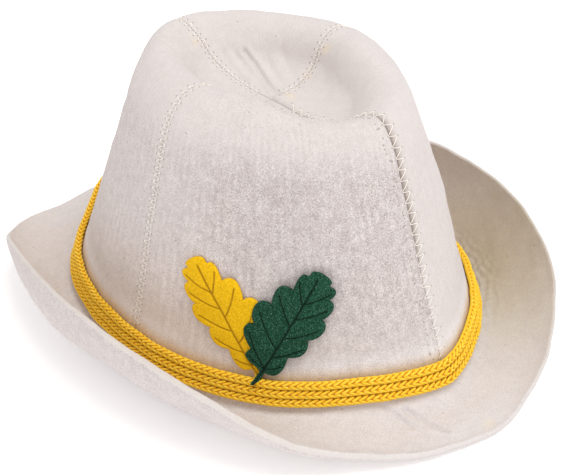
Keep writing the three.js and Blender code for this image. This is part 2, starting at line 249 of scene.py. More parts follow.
def degree_of(surface, angle, along):
    """How many millimetres of a surface one degree round the hat takes."""
    low, high = np.full(along.shape, angle - 0.5), np.full(along.shape, angle + 0.5)
    return np.linalg.norm(surface(high, along) - surface(low, along), axis=-1)


print("middle of the dent's floor:", crown_at(np.array(0.0), np.array(4.0)).round(1))

# %% [markdown]
# The brim's section is two arcs, a tight bend that leads out of the wall and a long sweep that ends at
# the rim. An arc keeps its length however far it curls, as felt does, so the brim keeps its width all
# the way round. Where it would sink into the table it bends softly and lies flat instead.

# %% The brim's surface
STRAIGHT = 1e-4  # a turn below this many radians counts as this much, so nothing is divided by zero


def arc_step(start, end, length):
    """How far out and up an arc of this length leads as it turns from one slope to another."""
    turn = end - start
    turn = np.where(np.abs(turn) < STRAIGHT, STRAIGHT, turn)
    out = length / turn * (np.sin(start + turn) - np.sin(start))
    up = length / turn * (np.cos(start) - np.cos(start + turn))
    return out, up


def brim_point(angle, along, wider=0.0):
    """The middle of the brim's felt. along runs from 0 at the rim to 1 at the crown's foot."""
    angle, along = np.broadcast_arrays(np.asarray(angle, float), np.asarray(along, float))
    turn = np.radians(angle)
    outward = unit(points(-HEAD_LENGTH * np.sin(turn), -HEAD_WIDTH * np.cos(turn), 0))
    foot = foot_point(angle)
    wall = shoulder_point(angle) - foot
    lean = np.arctan2(-wall[..., 2], -(wall * outward).sum(-1))
    start, end = np.radians(section(BRIM["start"], angle)), np.radians(section(BRIM["end"], angle))
    width = BRIM_WIDTH * section(BRIM["width"], angle) + wider
    place = 1 - along
    in_break = np.minimum(place / BREAK_SHARE, 1)
    on_brim = np.maximum((place - BREAK_SHARE) / (1 - BREAK_SHARE), 0)
    slope = lean + (start - lean) * in_break
    bend_out, bend_up = arc_step(lean, slope, BREAK_MIDDLE * (slope - lean))
    sweep_out, sweep_up = arc_step(start, start + (end - start) * on_brim, width * on_brim)
    out = bend_out + sweep_out + SEAM_GAP * np.cos(lean)
    up = bend_up + sweep_up + SEAM_GAP * np.sin(lean)
    return foot + outward * out[..., None] + points(0, 0, 1) * up[..., None]


def brim_at(angle, along, wider=0.0):
    point = rested(brim_point(angle, along, wider))
    point[..., 2] = FELT / 2 + REST_BEND * np.log1p(np.exp((point[..., 2] - FELT / 2) / REST_BEND))
    return point


print("front of the rim:", brim_at(np.array(0.0), np.array(0.0)).round(1))

# %% [markdown]
# Felt is never quite even. It is a mat of wool that barbed needles have tangled, so it swells and
# sinks a little over every few centimetres and is lumpy over every few millimetres. A sum of plane
# waves in chosen directions gives such an unevenness anywhere in space. The felt, the cords and the
# leaves all ask the same function, so nothing cuts into what it lies on.

# %% Unevenness of the felt
rng = np.random.default_rng(11)
SHORTEST, LONGEST = 0.7, 1.4  # a single wave's length, as a share of the one asked for


def waves(count, wavelength):
    """Directions and starts of plane waves of about one wavelength, in millimetres."""
    directions = unit(rng.normal(size=(count, 3)))
    directions = directions * (2 * np.pi / wavelength) / rng.uniform(SHORTEST, LONGEST, (count, 1))
    return directions, rng.uniform(0, 2 * np.pi, count)


SWELLS, LUMPS, PILLS = waves(14, 60), waves(20, 17), waves(26, 6.5)
SWELL_DEPTH, LUMP_DEPTH, PILL_DEPTH = 0.35, 0.14, 0.05


def uneven(point, kind):
    """About -1 to 1, smooth everywhere in space."""
    directions, starts = kind
    return np.sin(point @ directions.T + starts).sum(-1) / math.sqrt(len(starts) / 2)


print("waves:", [len(starts) for _, starts in (SWELLS, LUMPS, PILLS)])

# %% [markdown]
# Felt also keeps the creases of the hand that pushed the crown in, and of the brim's front edge. Each
# one is a line as seen from above, a narrow valley with a soft lip to both sides of it.

# %% Creases of the felt
# Each as (line seen from above, whether it lies on the top, depth, width), all in millimetres
CREASES = [
    ([(14.6, 28), (13.8, 19.7), (11.2, 12.2), (7.4, 2.8), (4.2, -6)], True, 1.1, 0.9),
    ([(10.6, 32.5), (9.7, 26.1), (7.2, 16.5)], True, 0.35, 1.2),
    ([(18.8, 16.5), (15.9, 7.9), (11.2, -2.5)], True, 0.35, 1.2),
    ([(6.2, 34.6), (4.5, 25.9), (1.5, 12.9)], True, 0.35, 1.3),
    ([(26, 14), (22, 4), (15, -8)], True, 0.25, 1.4),
    ([(-23.2, -112), (-20.9, -119.3), (-20.1, -125.7), (-18.6, -133)], False, 1.2, 1.1),
    ([(-29.6, -106), (-28.1, -114.1), (-27.5, -120)], False, 0.9, 1.2),
    ([(-9, -117), (-8, -124), (-7, -131)], False, 0.6, 1.3),
]
TOP_FROM = 60.0  # what lies higher belongs to the top
LIP_RISE, LIP_AWAY, LIP_WIDTH = 0.45, 2.4, 1.3  # shares of a crease's depth and width


def from_line(place, line):
    """How far each place on a plane lies from a line of straight pieces."""
    away = np.full(place.shape[:-1], np.inf)
    for a, b in zip(line[:-1], line[1:]):
        share = np.clip(((place - a) @ (b - a)) / ((b - a) @ (b - a)), 0, 1)
        away = np.minimum(away, np.linalg.norm(place - a - share[..., None] * (b - a), axis=-1))
    return away


def creases(point):
    """Folds that the felt has kept: a narrow valley between two soft lips."""
    depth = np.zeros(point.shape[:-1])
    for line, on_top, deep, width in CREASES:
        away = from_line(point[..., :2], np.array(line))
        fold = LIP_RISE * bell(away, LIP_AWAY * width, LIP_WIDTH * width) - bell(away, 0, width)
        depth += deep * fold * ((point[..., 2] > TOP_FROM) == on_top)
    return depth


def relief(point):
    """How far the felt's surface lies above its even form."""
    swells, lumps = SWELL_DEPTH * uneven(point, SWELLS), LUMP_DEPTH * uneven(point, LUMPS)
    return swells + lumps + PILL_DEPTH * uneven(point, PILLS) + creases(point)


print("relief over the near wall in mm:", relief(wall_at(np.linspace(20, 90, 8), np.full(8, 50.0))).round(2))

# %% [markdown]
# Every piece here is a sheet or a tube. A sheet is two grids of points, the outer and the inner face
# of the felt, joined along its cut edges, which get a material of their own. Python lists of points
# and faces are enough for that, and the mesh stays closed, as cut felt is.


# %% Meshes from grids
def piece(name, parts, nodes, slot, **marked):
    """One object in metres that stands for the given solids. parts has (points, [(faces, material), ...]).
    Named values for every point, numbers or colours, are kept as attributes for the materials to read."""
    vertices, faces, marks, materials = [], [], [], []
    for part_points, blocks in parts:
        start = sum(len(block) for block in vertices)
        vertices.append(part_points.reshape(-1, 3))
        for block, block_material in blocks:
            if block_material not in materials:
                materials.append(block_material)
            faces.extend((block + start).tolist())
            marks.extend([materials.index(block_material)] * len(block))
    mesh = bpy.data.meshes.new(name)
    mesh.from_pydata((np.concatenate(vertices) * 0.001).tolist(), [], faces)
    for block_material in materials:
        mesh.materials.append(block_material)
    mesh.polygons.foreach_set("material_index", marks)
    mesh.polygons.foreach_set("use_smooth", [True] * len(faces))
    for key, values in marked.items():
        attribute = mesh.attributes.new(key, "FLOAT_VECTOR" if values.ndim == 2 else "FLOAT", "POINT")
        attribute.data.foreach_set("vector" if values.ndim == 2 else "value", values.ravel())
    made = bpy.data.objects.new(name, mesh)
    bpy.context.scene.collection.objects.link(made)
    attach(made, "root")
    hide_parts(*nodes)
    print(f"{name}: {sum(len(face) - 2 for face in faces)} triangles")


def strip(a, b, c, d):
    return np.stack([a, b, c, d], axis=-1).reshape(-1, 4)


def sheet(outer, inner, face_material, cut_material, ring=False):
    """A closed sheet from two grids of rows and columns. Its cut edges get their own material."""
    rows, columns = outer.shape[:2]
    o = np.arange(rows * columns).reshape(rows, columns)
    if ring:
        o = np.concatenate([o, o[:, :1]], axis=1)
    n = o + rows * columns
    faces = [
        (strip(o[:-1, :-1], o[1:, :-1], o[1:, 1:], o[:-1, 1:]), face_material),
        (strip(n[:-1, :-1], n[:-1, 1:], n[1:, 1:], n[1:, :-1]), face_material),
        (strip(o[0, :-1], o[0, 1:], n[0, 1:], n[0, :-1]), cut_material),
        (strip(o[-1, :-1], n[-1, :-1], n[-1, 1:], o[-1, 1:]), cut_material),
    ]
    if not ring:
        faces.append((strip(o[:-1, 0], n[:-1, 0], n[1:, 0], o[1:, 0]), cut_material))
        faces.append((strip(o[:-1, -1], o[1:, -1], n[1:, -1], n[:-1, -1]), cut_material))
    return np.concatenate([outer.reshape(-1, 3), inner.reshape(-1, 3)]), faces


def tubes(paths, outs, radius, sides, tube_material, closed=False):
    """Many round tubes at once. paths and outs are grids of tube, point and coordinate."""
    tangents = np.roll(paths, -1, 1) - np.roll(paths, 1, 1) if closed else np.gradient(paths, axis=1)
    across = unit(np.cross(tangents, outs))
    upward = unit(np.cross(across, tangents))
    turn = 2 * np.pi * np.arange(sides) / sides
    radius = np.broadcast_to(radius, paths.shape[:2])[..., None, None]
    ring = np.cos(turn)[:, None] * upward[:, :, None, :] + np.sin(turn)[:, None] * across[:, :, None, :]
    grid = paths[:, :, None, :] + radius * ring
    index = np.arange(grid.size // 3).reshape(grid.shape[:3])
    if closed:
        index = np.concatenate([index, index[:, :1]], axis=1)
    beside = np.roll(index, -1, 2)
    faces = [(strip(index[:, :-1], index[:, 1:], beside[:, 1:], beside[:, :-1]), tube_material)]
    if not closed:
        faces += [(index[:, 0], tube_material), (index[:, -1, ::-1], tube_material)]
    return grid, faces


two_lines = np.arange(3)[:, None] * np.array([[[1.0, 0, 0]], [[0, 1.0, 0]]])
example = tubes(two_lines, np.broadcast_to([0.0, 0, 1], two_lines.shape), 1.0, 6, None)
print("two tubes of three rings have", sum(len(block) for block, _ in example[1]), "faces")

# %% [markdown]
# Colours are written as sRGB hex values, as a designer would note them, and turned to linear light in
# one place. One small function adds a node with its settings and links. Uniform values such as the
# roughness go straight onto the shader's own sockets.


# %% Helpers for materials
def linear(colour):
    channels = [int(colour[i : i + 2], 16) / 255 for i in (1, 3, 5)]
    return [c / 12.92 if c <= 0.04045 else ((c + 0.055) / 1.055) ** 2.4 for c in channels] + [1.0]


def grain(size):
    """The scale, to two digits, of a texture whose grains are this many millimetres wide."""
    return float(f"{1000 / size:.2g}")


def add(tree, kind, inputs=None, stops=(), **settings):
    """A node with its settings. Each input gets a value, or a link from (node, output). stops are the
    places and the sRGB colours of a colour ramp."""
    node = tree.nodes.new(kind)
    for key, value in settings.items():
        setattr(node, key, value)
    for key, value in (inputs or {}).items():
        if isinstance(value, tuple) and isinstance(value[0], bpy.types.Node):
            tree.links.new(value[0].outputs[value[1]], node.inputs[key])
        else:
            node.inputs[key].default_value = value
    while stops and len(node.color_ramp.elements) < len(stops):
        node.color_ramp.elements.new(0.5)
    for i, (place, colour) in enumerate(stops):
        node.color_ramp.elements[i].position = place
        node.color_ramp.elements[i].color = linear(colour)
    return node


def material(name, **uniform):
    """A new material with its node tree, its shader and the place on the object, for textures."""
    made = bpy.data.materials.new(name)
    made.use_nodes = True
    shader = made.node_tree.nodes["Principled BSDF"]
    for key, value in uniform.items():
        shader.inputs[key.replace("_", " ")].default_value = value
    return made, made.node_tree, shader, (add(made.node_tree, "ShaderNodeTexCoord"), "Object")


def finish(tree, shader, colour, height=None, strength=0.0, depth=0.0):
    """Gives the shader its colour and, from a height, a fine nap that is depth metres deep."""
    tree.links.new(colour[0].outputs[colour[1]], shader.inputs["Base Color"])
    if height:
        nap = add(tree, "ShaderNodeBump", {"Height": height, "Strength": strength, "Distance": depth})
        tree.links.new(nap.outputs["Normal"], shader.inputs["Normal"])


def mottled(name, noise, stops, nap=(), **uniform):
    """A material whose colour, and nap if it has one, follow a single noise."""
    made, tree, shader, place = material(name, **uniform)
    fluff = add(tree, "ShaderNodeTexNoise", {"Vector": place, **noise})
    tone = add(tree, "ShaderNodeValToRGB", {"Fac": (fluff, "Fac")}, stops)
    finish(tree, shader, (tone, "Color"), (fluff, "Fac") if nap else None, *nap)
    return made


print("felt in linear light:", [round(value, 3) for value in linear("#E4DBD8")])

# %% [markdown]
# The hat's felt is needle-punched wool, off-white and undyed, so warm and cool fibres stay visible as
# a fine mottle of about 0.6 mm with some darker hairs. The board of needles leaves faint upright rows
# some 4 mm apart. What depends on the place comes in as attributes. One, for calm and light, says
# where the pile lies smooth and the mottle fades into a lighter even tone. That is partly real and
# partly painted light: the lit faces are calm, and the shaded near side stays mottled and darker. Tint
# holds painted shade in the grooves and on the wearer's left of the brim, painted light beside the
# band, and painted warm shade and yellow bounce light that the band throws onto the felt around it.

# %% Wool felt
# Sizes in millimetres: hairs, clouds of hairs, patches where the needle rows show, specks and rows
HAIR, CLOUD, PATCH, SPECKS_APART, NEEDLE_ROWS = 0.53, 4.3, 16.7, 5.9, 4.2
CLOUDY = 0.15  # share of the clouds in the mottle
ROWS_SHOW, ROWS_DRIFT, ROWS_FROM, ROWS_FULL = 0.024, 5.0, 0.42, 0.66
SPECK_EDGE, SPECK_CORE = 0.1, 0.03  # how far a speck reaches from its cell's middle, in cells
SPECK_CHANCE, SPECK_DARK, SPECK_COLOUR = 0.4, 0.5, "#7C6E69"
NAP = 0.0005  # metres
# The even tone is lighter than the mottle: where it shows, it is partly painted light
EVEN_LIT_TONE = "#DED6D4"


def wool_felt(name, stops, nap_strength, rows):
    """Felt that shows its mottle, specks and needle rows, by the attributes calm, tint and needle."""
    felt_look = {"Roughness": 0.95, "Sheen_Weight": 0.08, "Sheen_Roughness": 0.5, "Specular_IOR_Level": 0.2}
    made, tree, shader, place = material(name, **felt_look)
    needle, calm, tint = [
        add(tree, "ShaderNodeAttribute", attribute_name=mark) for mark in ("needle", "calm", "tint")
    ]

    # The mottle: hairs, and softer clouds of them
    wiry = {"Scale": grain(HAIR), "Detail": 4.0, "Roughness": 0.8, "Distortion": 1.0}
    hairs = add(tree, "ShaderNodeTexNoise", {"Vector": place, **wiry})
    soft = {"Scale": grain(CLOUD), "Detail": 3.0, "Roughness": 0.6}
    clouds = add(tree, "ShaderNodeTexNoise", {"Vector": place, **soft})
    fleece = add(tree, "ShaderNodeMath", {0: (hairs, "Fac"), 1: 1 - CLOUDY}, operation="MULTIPLY")
    share = {0: (clouds, "Fac"), 1: CLOUDY, 2: (fleece, "Value")}
    cloudy = add(tree, "ShaderNodeMath", share, operation="MULTIPLY_ADD")

    # The needle rows: upright waves that drift with the clouds and show only in patches
    turns = {0: (needle, "Fac"), 1: 2 * math.pi / NEEDLE_ROWS}
    phase = add(tree, "ShaderNodeMath", turns, operation="MULTIPLY")
    drift = {0: (clouds, "Fac"), 1: ROWS_DRIFT, 2: (phase, "Value")}
    drifted = add(tree, "ShaderNodeMath", drift, operation="MULTIPLY_ADD")
    column = add(tree, "ShaderNodeMath", {0: (drifted, "Value")}, operation="SINE")
    ragged = {"Scale": grain(PATCH), "Detail": 3.0, "Roughness": 0.7}
    patches = add(tree, "ShaderNodeTexNoise", {"Vector": place, **ragged})
    showing = {"From Min": ROWS_FROM, "From Max": ROWS_FULL, "To Max": ROWS_SHOW * rows}
    faded = add(tree, "ShaderNodeMapRange", {"Value": (patches, "Fac"), **showing})
    both = {0: (column, "Value"), 1: (faded, "Result"), 2: (cloudy, "Value")}
    mixed = add(tree, "ShaderNodeMath", both, operation="MULTIPLY_ADD")
    mottle = add(tree, "ShaderNodeValToRGB", {"Fac": (mixed, "Value")}, stops)
    calmed = {0: (calm, "Fac"), 6: (mottle, "Color"), 7: linear(EVEN_LIT_TONE)}
    tone = add(tree, "ShaderNodeMix", calmed, data_type="RGBA")

    # The specks: a dark hair end in the middle of some cells
    cells = add(tree, "ShaderNodeTexVoronoi", {"Vector": place, "Scale": grain(SPECKS_APART)})
    close = {"From Min": SPECK_EDGE, "From Max": SPECK_CORE, "To Max": SPECK_DARK}
    near = add(tree, "ShaderNodeMapRange", {"Value": (cells, "Distance"), **close})
    chance = add(tree, "ShaderNodeSeparateColor", {"Color": (cells, "Color")})
    some = add(tree, "ShaderNodeMath", {0: (chance, "Red"), 1: SPECK_CHANCE}, operation="LESS_THAN")
    speck = add(tree, "ShaderNodeMath", {0: (near, "Result"), 1: (some, "Value")}, operation="MULTIPLY")
    dark = {0: (speck, "Value"), 6: (tone, 2), 7: linear(SPECK_COLOUR)}
    specked = add(tree, "ShaderNodeMix", dark, data_type="RGBA")
    # The tint multiplies in painted shade and painted light, and the cream lint
    tint_mix = {0: 1.0, 6: (specked, 2), 7: (tint, "Color")}
    tint_applied = add(tree, "ShaderNodeMix", tint_mix, data_type="RGBA", blend_type="MULTIPLY")
    finish(tree, shader, (tint_applied, 2), (mixed, "Value"), nap_strength, NAP)
    return made


FACE_TONES = [(0.39, "#A09493"), (0.5, "#C9BEBD"), (0.6, "#E9E1DF")]
# The cut edge comes out lighter than the face on the whole: painted light on the felt's edge
CUT_TONES = [(0.35, "#C5BCB9"), (0.6, "#E3DCD9")]
felt_face = wool_felt("needle-punched wool felt", FACE_TONES, nap_strength=0.45, rows=1.0)
felt_cut = wool_felt("cut edge of wool felt", CUT_TONES, nap_strength=0.6, rows=0.0)
print("made", felt_face.name, "and", felt_cut.name)

# %% [markdown]
# The tints are small changes of red, green and blue that the pieces add up point by point: painted
# shade in the grooves, painted warm shade and yellow bounce light from the band on the felt near it,
# painted shade on the wearer's left of the brim, painted light beside the band and at the front of the
# brim, and a few cream spots where thread ends were rubbed in.

# %% Tints of the felt
# Painted shade in the grooves, painted warm shade with yellow bounce light from the band, and painted shade
# on the brim's side
GROOVE_SHADE, BOUNCE_SHADE, BRIM_SHADE = np.array([0.35, 0.4, 0.44]), np.array([0.02, 0.12, 0.28]), np.array([0.3, 0.35, 0.5])
# Painted light beside the band and at the front of the brim
PAINTED_LIGHT = np.array([0.6, 0.8, 1.0])
LINT_TINT, LINT_SIZE, LINT_RAGGED = [0.07, 0.02, -0.13], 2.8, 0.8
LINT = [
    (-4.2, 41.7, 128.2),
    (7.6, -10.3, 113.2),
    (31.1, -9.6, 128.6),
    (23.4, -5.2, 117.0),
    (-1.8, -143.2, 3.0),
]


def lint(point):
    """A cream tint where thread ends were rubbed into the felt."""
    away = np.min([np.linalg.norm(point - spot, axis=-1) for spot in LINT], axis=0)
    away = away + LINT_RAGGED * uneven(point, PILLS)
    return bell(away, 0, LINT_SIZE)[..., None] * LINT_TINT


def tinted(groove, bounce_shade, brim_shade, painted_light, point):
    """The tint of each point, from how strong each painted shade and painted light is there, plus the cream
    lint.
    """
    shade_parts = groove[..., None] * GROOVE_SHADE, bounce_shade[..., None] * BOUNCE_SHADE, brim_shade[..., None] * BRIM_SHADE
    return 1 - shade_parts[0] - shade_parts[1] - shade_parts[2] + painted_light[..., None] * PAINTED_LIGHT + lint(point)


print("lint at its spots:", lint(np.array(LINT)).max(axis=-1).round(3))

# %% [markdown]
# The crown is four gores of felt, sewn edge to edge with a zigzag stitch. Each gore is one closed
# sheet between two seams, 3 mm thick, on the sections above. The felt's edges are rounded where the
# stitch pulls them in, which leaves the fine groove that the photograph shows along each seam.

# %% The gores of the crown
# Rows in each bend of the section, from the foot to the middle of the dent
BEND_ROWS = [56, 28, 34, 34]
ROWS = np.concatenate(
    [[0.0], *[bend + np.arange(1, rows + 1) / rows for bend, rows in enumerate(BEND_ROWS)]]
)
GORE_COLUMNS, PROBES = 84, 13
EDGE = np.array([0.0, 0.12, 0.35, 0.7, 1.1, 1.6])  # the columns next to a cut edge, in mm from it
EDGE_SHARE = 0.1  # of a row near the dent's middle, that these columns take at most
LENGTH_LEAST = 0.01  # mm, for the row that is a single point
EDGE_ROUND, GAPE_ROUND = 0.5, 1.3  # how round the cut edge is, also where the front seam gapes
GAPE_FROM, GAPE_TO, GAPE_CLOSED = (0.3, 0.6), (1.6, 2.4), 0.75  # in bends: where it opens and closes
APART = 0.04  # mm that each gore moves away from its neighbours, so that no edges touch
SEAM_PULL, SEAM_REACH = 0.35, 2.6


def seam_dip(distance):
    """How deep the stitch pulls the felt in, by distance from the seam."""
    return SEAM_PULL * bell(distance, 0, SEAM_REACH)


def gore_grid(start, end):
    """Where the points of a gore lie: their share of its width, and their distance from a seam."""
    probe = crown_at(np.linspace(start, end, PROBES)[None, :], ROWS[:, None])
    length = np.linalg.norm(np.diff(probe, axis=1), axis=-1).sum(1)
    length = np.maximum(length, LENGTH_LEAST)[:, None]
    edge = np.minimum(EDGE / length, EDGE_SHARE * EDGE / EDGE[-1])
    inside = np.linspace(0, 1, GORE_COLUMNS) * (1 - 2 * edge[:, -1:]) + edge[:, -1:]
    share = np.concatenate([edge, inside[:, 1:-1], 1 - edge[:, ::-1]], axis=1)
    return share, np.minimum(share, 1 - share) * length


print("points of a gore's face:", gore_grid(0, SIDE_SEAM)[0].shape)

# %% [markdown]
# Each gore knows how far a point lies above the band and from the seams, and its tints follow from
# that. The near side is seen in the photograph: painted warm shade and yellow bounce light from the
# band lie on it, painted light lies low by the side seam and painted shade over its middle, and the
# mottle shows most in its middle, where it is also darker, partly as painted shade. The others are
# smoother, and their lighter even tone is partly painted light.

# %% Tints of the crown
BAND_HEIGHT = 15.0
MM_PER_DEGREE = 1.55  # of felt round the head, to space the needle rows
WALL_END, SHOULDER = 1, 1.5  # in bends: the end of the wall's, and the middle of the shoulder's
# Painted shade in each seam's groove: the front seam's is darker where it gapes, and wider on the wearer's
# left
GROOVE_DARK, GAPE_DARK, GROOVE_WIDTH, WIDE_GROOVE = 0.12, 0.75, 0.8, 2.3
# Angles as (middle, reach) in degrees, heights as (from, to) in mm above the band
# Painted warm shade and yellow bounce light from the band, most on the near side
BOUNCE_ROUND, BOUNCE_NEAR, BOUNCE_ANGLE, BOUNCE_HEIGHT = 0.04, 0.5, (85, 45), (5, 48)
# Painted shade on the felt behind and under the band
UNDER_BAND_SHADE, UNDER_BAND = 1.3, (-5, 1)
# Painted light on the felt just above the band
LIGHT_SHARE, LIGHT_FROM, LIGHT_TO = 0.18, (-3, 1), (1, 9)
# Painted light low on the near side by the side seam
PALE, PALE_ANGLE, PALE_HEIGHT = 0.13, (80, 24), (15, 60)
# Painted shade over the middle of the near side's wall
DARK, DARK_ANGLE = 0.05, (46, 20)
# Where the mottle fades into the lighter even tone, partly painted light: by the near side seam, on the top
# and by the foot
SMOOTH_SIDE, SMOOTH_SIDE_FROM = 0.45, (60, 90)
SMOOTH_TOP, SMOOTH_TOP_FROM = 0.75, (0.88, 1.4)  # in bends of the section
ROUGH_FOOT, ROUGH_FOOT_TO, CALM_MOST = 0.5, (0, 25), 0.8


def crown_marks(start, end, rough, share, angle, along, middle, from_seam, gaping):
    """The attributes of a gore's outer face. rough is how much of its mottle shows; mottled felt comes out
    darker, partly as painted shade.
    """
    wide = np.where((share > 0.5) & (end == 360), WIDE_GROOVE, GROOVE_WIDTH)
    # Painted shade in the seam's groove
    groove = bell(from_seam, 0, wide) * (GROOVE_DARK + GAPE_DARK * gaping)
    above = np.linalg.norm(middle - middle[:1], axis=-1) - BAND_HEIGHT
    near = BOUNCE_ROUND + BOUNCE_NEAR * hump(angle, *BOUNCE_ANGLE)
    bounce_shade = near * (1 - smoothstep(above, *BOUNCE_HEIGHT)) * (along < SHOULDER)
    bounce_shade = bounce_shade + UNDER_BAND_SHADE * (1 - smoothstep(above, *UNDER_BAND))
    painted_light = LIGHT_SHARE * (1 - smoothstep(above, *LIGHT_TO)) * smoothstep(above, *LIGHT_FROM)
    pale = PALE * hump(angle, *PALE_ANGLE) * (1 - smoothstep(above, *PALE_HEIGHT))
    pale = pale - DARK * hump(angle, *DARK_ANGLE) * (along < WALL_END)
    tint = tinted(groove, bounce_shade, 0 * bounce_shade, painted_light, middle) + pale[..., None]
    rubbed = rough * (1 - SMOOTH_SIDE * smoothstep(angle, *SMOOTH_SIDE_FROM) * (start == 0))
    rubbed = rubbed * (1 - SMOOTH_TOP * smoothstep(along, *SMOOTH_TOP_FROM))
    rubbed = rubbed * (ROUGH_FOOT + (1 - ROUGH_FOOT) * smoothstep(above, *ROUGH_FOOT_TO))
    return {"tint": tint, "needle": (angle - start) * MM_PER_DEGREE, "calm": CALM_MOST * (1 - rubbed)}


def gore(name, node, start, end, rough):
    share, from_seam = gore_grid(start, end)
    angle = start + (end - start) * share
    along = np.broadcast_to(ROWS[:, None], angle.shape)
    middle, out = crown_at(angle, along), out_of(crown_at, angle, along)
    gaping = smoothstep(along, *GAPE_FROM) * (1 - GAPE_CLOSED * smoothstep(along, *GAPE_TO))
    gaping = np.where((start + (end - start) * (share > 0.5)) % 360 == 0, gaping, 0)
    edge_round = EDGE_ROUND + (GAPE_ROUND - EDGE_ROUND) * gaping
    rounded = edge_round - np.sqrt(edge_round**2 - np.maximum(edge_round - from_seam, 0) ** 2)
    lift = relief(middle)
    shift = np.sign(crown_at(np.array((start + end) / 2), np.array(0.0))) * [1, 1, 0] * APART
    outer = middle + out * (FELT / 2 + lift - seam_dip(from_seam) - rounded)[..., None] + shift
    inner = middle + out * (lift - FELT / 2 + rounded)[..., None] + shift
    marks = crown_marks(start, end, rough, share, angle, along, middle, from_seam, gaping)
    for key, values in marks.items():
        marks[key] = np.concatenate([values.reshape(angle.size, -1)] * 2).squeeze()
    # Nor does painted shade or light show inside
    marks["tint"][angle.size :] = 1  # no stain shows inside
    piece(name, [sheet(outer, inner, felt_face, felt_cut)], [node], "felt", **marks)


# How mottled each gore is: the shaded near gore most and so darkest, the lit front-left least and so
# lightest; partly painted shade and light
gore("felt_gore_front_right", "crown_front_right", 0, SIDE_SEAM, rough=1.0)
gore("felt_gore_back_right", "crown_back_right", SIDE_SEAM, 180, rough=0.6)
gore("felt_gore_back_left", "crown_back_left", 180, 360 - SIDE_SEAM, rough=0.3)
gore("felt_gore_front_left", "crown_front_left", 360 - SIDE_SEAM, 360, rough=0.2)

# %% [markdown]
# The brim is one ring of the same felt. It leaves the crown through a soft bend, dips at the front
# and the back and curls up at both sides, and the felt is pressed flat where the hat rests. Its rim
# was cut by hand, so its width wavers by a few tenths of a millimetre.

# %% The brim
BRIM_REACH = BRIM_WIDTH / (1 - BREAK_SHARE)  # mm of felt from the rim to the foot
BRIM_COLUMNS, SWEEP_ROWS, BREAK_ROWS = 640, 40, 9
RIM_ROWS = [0.0, 0.1, 0.3, 0.7, 1.3]  # mm from the rim
RIM_ROUND, RIM_FLARE, RIM_PRESSED, RIM_REACH = 0.6, 0.9, 0.9, 2.4
WAVER = [(0.3, 9, 1), (0.2, 17, 2), (0.12, 41, 0)]  # depth in mm, waves round the rim, start
POINT_BLUNT, POINT_SOFT = 0.25, 60  # how the rim's front point is taken off
TABLE_GAP = 0.02
# The puckers beside the band: middle and reach in degrees, and in mm from the foot
PUCKER_ANGLE, PUCKER_FOOT = (309, 29), (13, 9)
PUCKER_ROWS, PUCKER_ROW_DEPTH, PUCKER_ROW_DRIFT = 4.3, 0.74, 2.6
PUCKER_DEGREES, PUCKER_DEPTH, PUCKER_DRIFT, PUCKER_SLANT = 3.1, 0.55, 2.4, 0.25
BREAK_FLAT = 0.15  # share of the felt next to the foot over which all relief fades in

rim = np.array(RIM_ROWS) / BRIM_REACH
sweep = np.linspace(rim[-1], 1 - BREAK_SHARE, SWEEP_ROWS)
brim_rows = np.concatenate([rim[:-1], sweep[:-1], np.linspace(1 - BREAK_SHARE, 1, BREAK_ROWS)])
brim_angles = np.arange(BRIM_COLUMNS) * 360 / BRIM_COLUMNS
angle, along = np.meshgrid(brim_angles, brim_rows)
waver = sum(deep * np.sin(count * np.radians(angle) + begin) for deep, count, begin in WAVER)
waver = waver - POINT_BLUNT * (np.sqrt(turned(angle) ** 2 + POINT_SOFT) - turned(angle))
middle, out = brim_at(angle, along, waver), out_of(brim_at, angle, along)
from_rim, from_foot = along * BRIM_REACH, (1 - along) * BRIM_REACH
rounded = RIM_ROUND - np.sqrt(RIM_ROUND**2 - np.maximum(RIM_ROUND - from_rim, 0) ** 2)
lumps = uneven(middle, LUMPS)
pucker = PUCKER_ROW_DEPTH * np.sin(2 * np.pi * from_foot / PUCKER_ROWS + PUCKER_ROW_DRIFT * lumps)
slanted = 2 * np.pi * angle / PUCKER_DEGREES + PUCKER_DRIFT * lumps + PUCKER_SLANT * from_foot
pucker = pucker + PUCKER_DEPTH * np.sin(slanted)
puckered = bell(angle, *PUCKER_ANGLE) * bell(from_foot, *PUCKER_FOOT)
lift = (relief(middle) + puckered * pucker) * np.clip((1 - along) / BREAK_FLAT, 0, 1)
print("deepest pucker in mm:", (puckered * pucker).min().round(2))

# %% [markdown]
# The rim is cut square and its edges are soft. On the near side it flares a little, because the felt
# was stretched there, and elsewhere it is pressed thinner. No point may sink into the table.

# %% The brim's faces and tints
# Angles as (middle, reach) in degrees, distances from the foot as (from, to) in mm
FLARE_ANGLE = (70, 55)
# Painted warm shade and yellow bounce light from the band on the brim's near side
BRIM_BOUNCE_SHADE, BRIM_BOUNCE_ANGLE = 0.35, (85, 50)
# Painted shade on the upturned wearer's left of the brim, a little less towards the rim
BRIM_SHADE_ANGLE, BRIM_SHADE_LESS, BRIM_SHADE_FOOT = (303, 32), 0.2, (25, 55)
# Painted light beside the band and at the front of the brim
BRIM_LIGHT, BRIM_LIGHT_FOOT, FRONT_LIGHT, FRONT_LIGHT_ANGLE = 0.2, (8, 24), 0.07, (20, 45)
# The brim's mottle fades into the lighter even tone, less on the near side: partly painted light
BRIM_CALM, BRIM_ROUGH = 0.62, 0.3

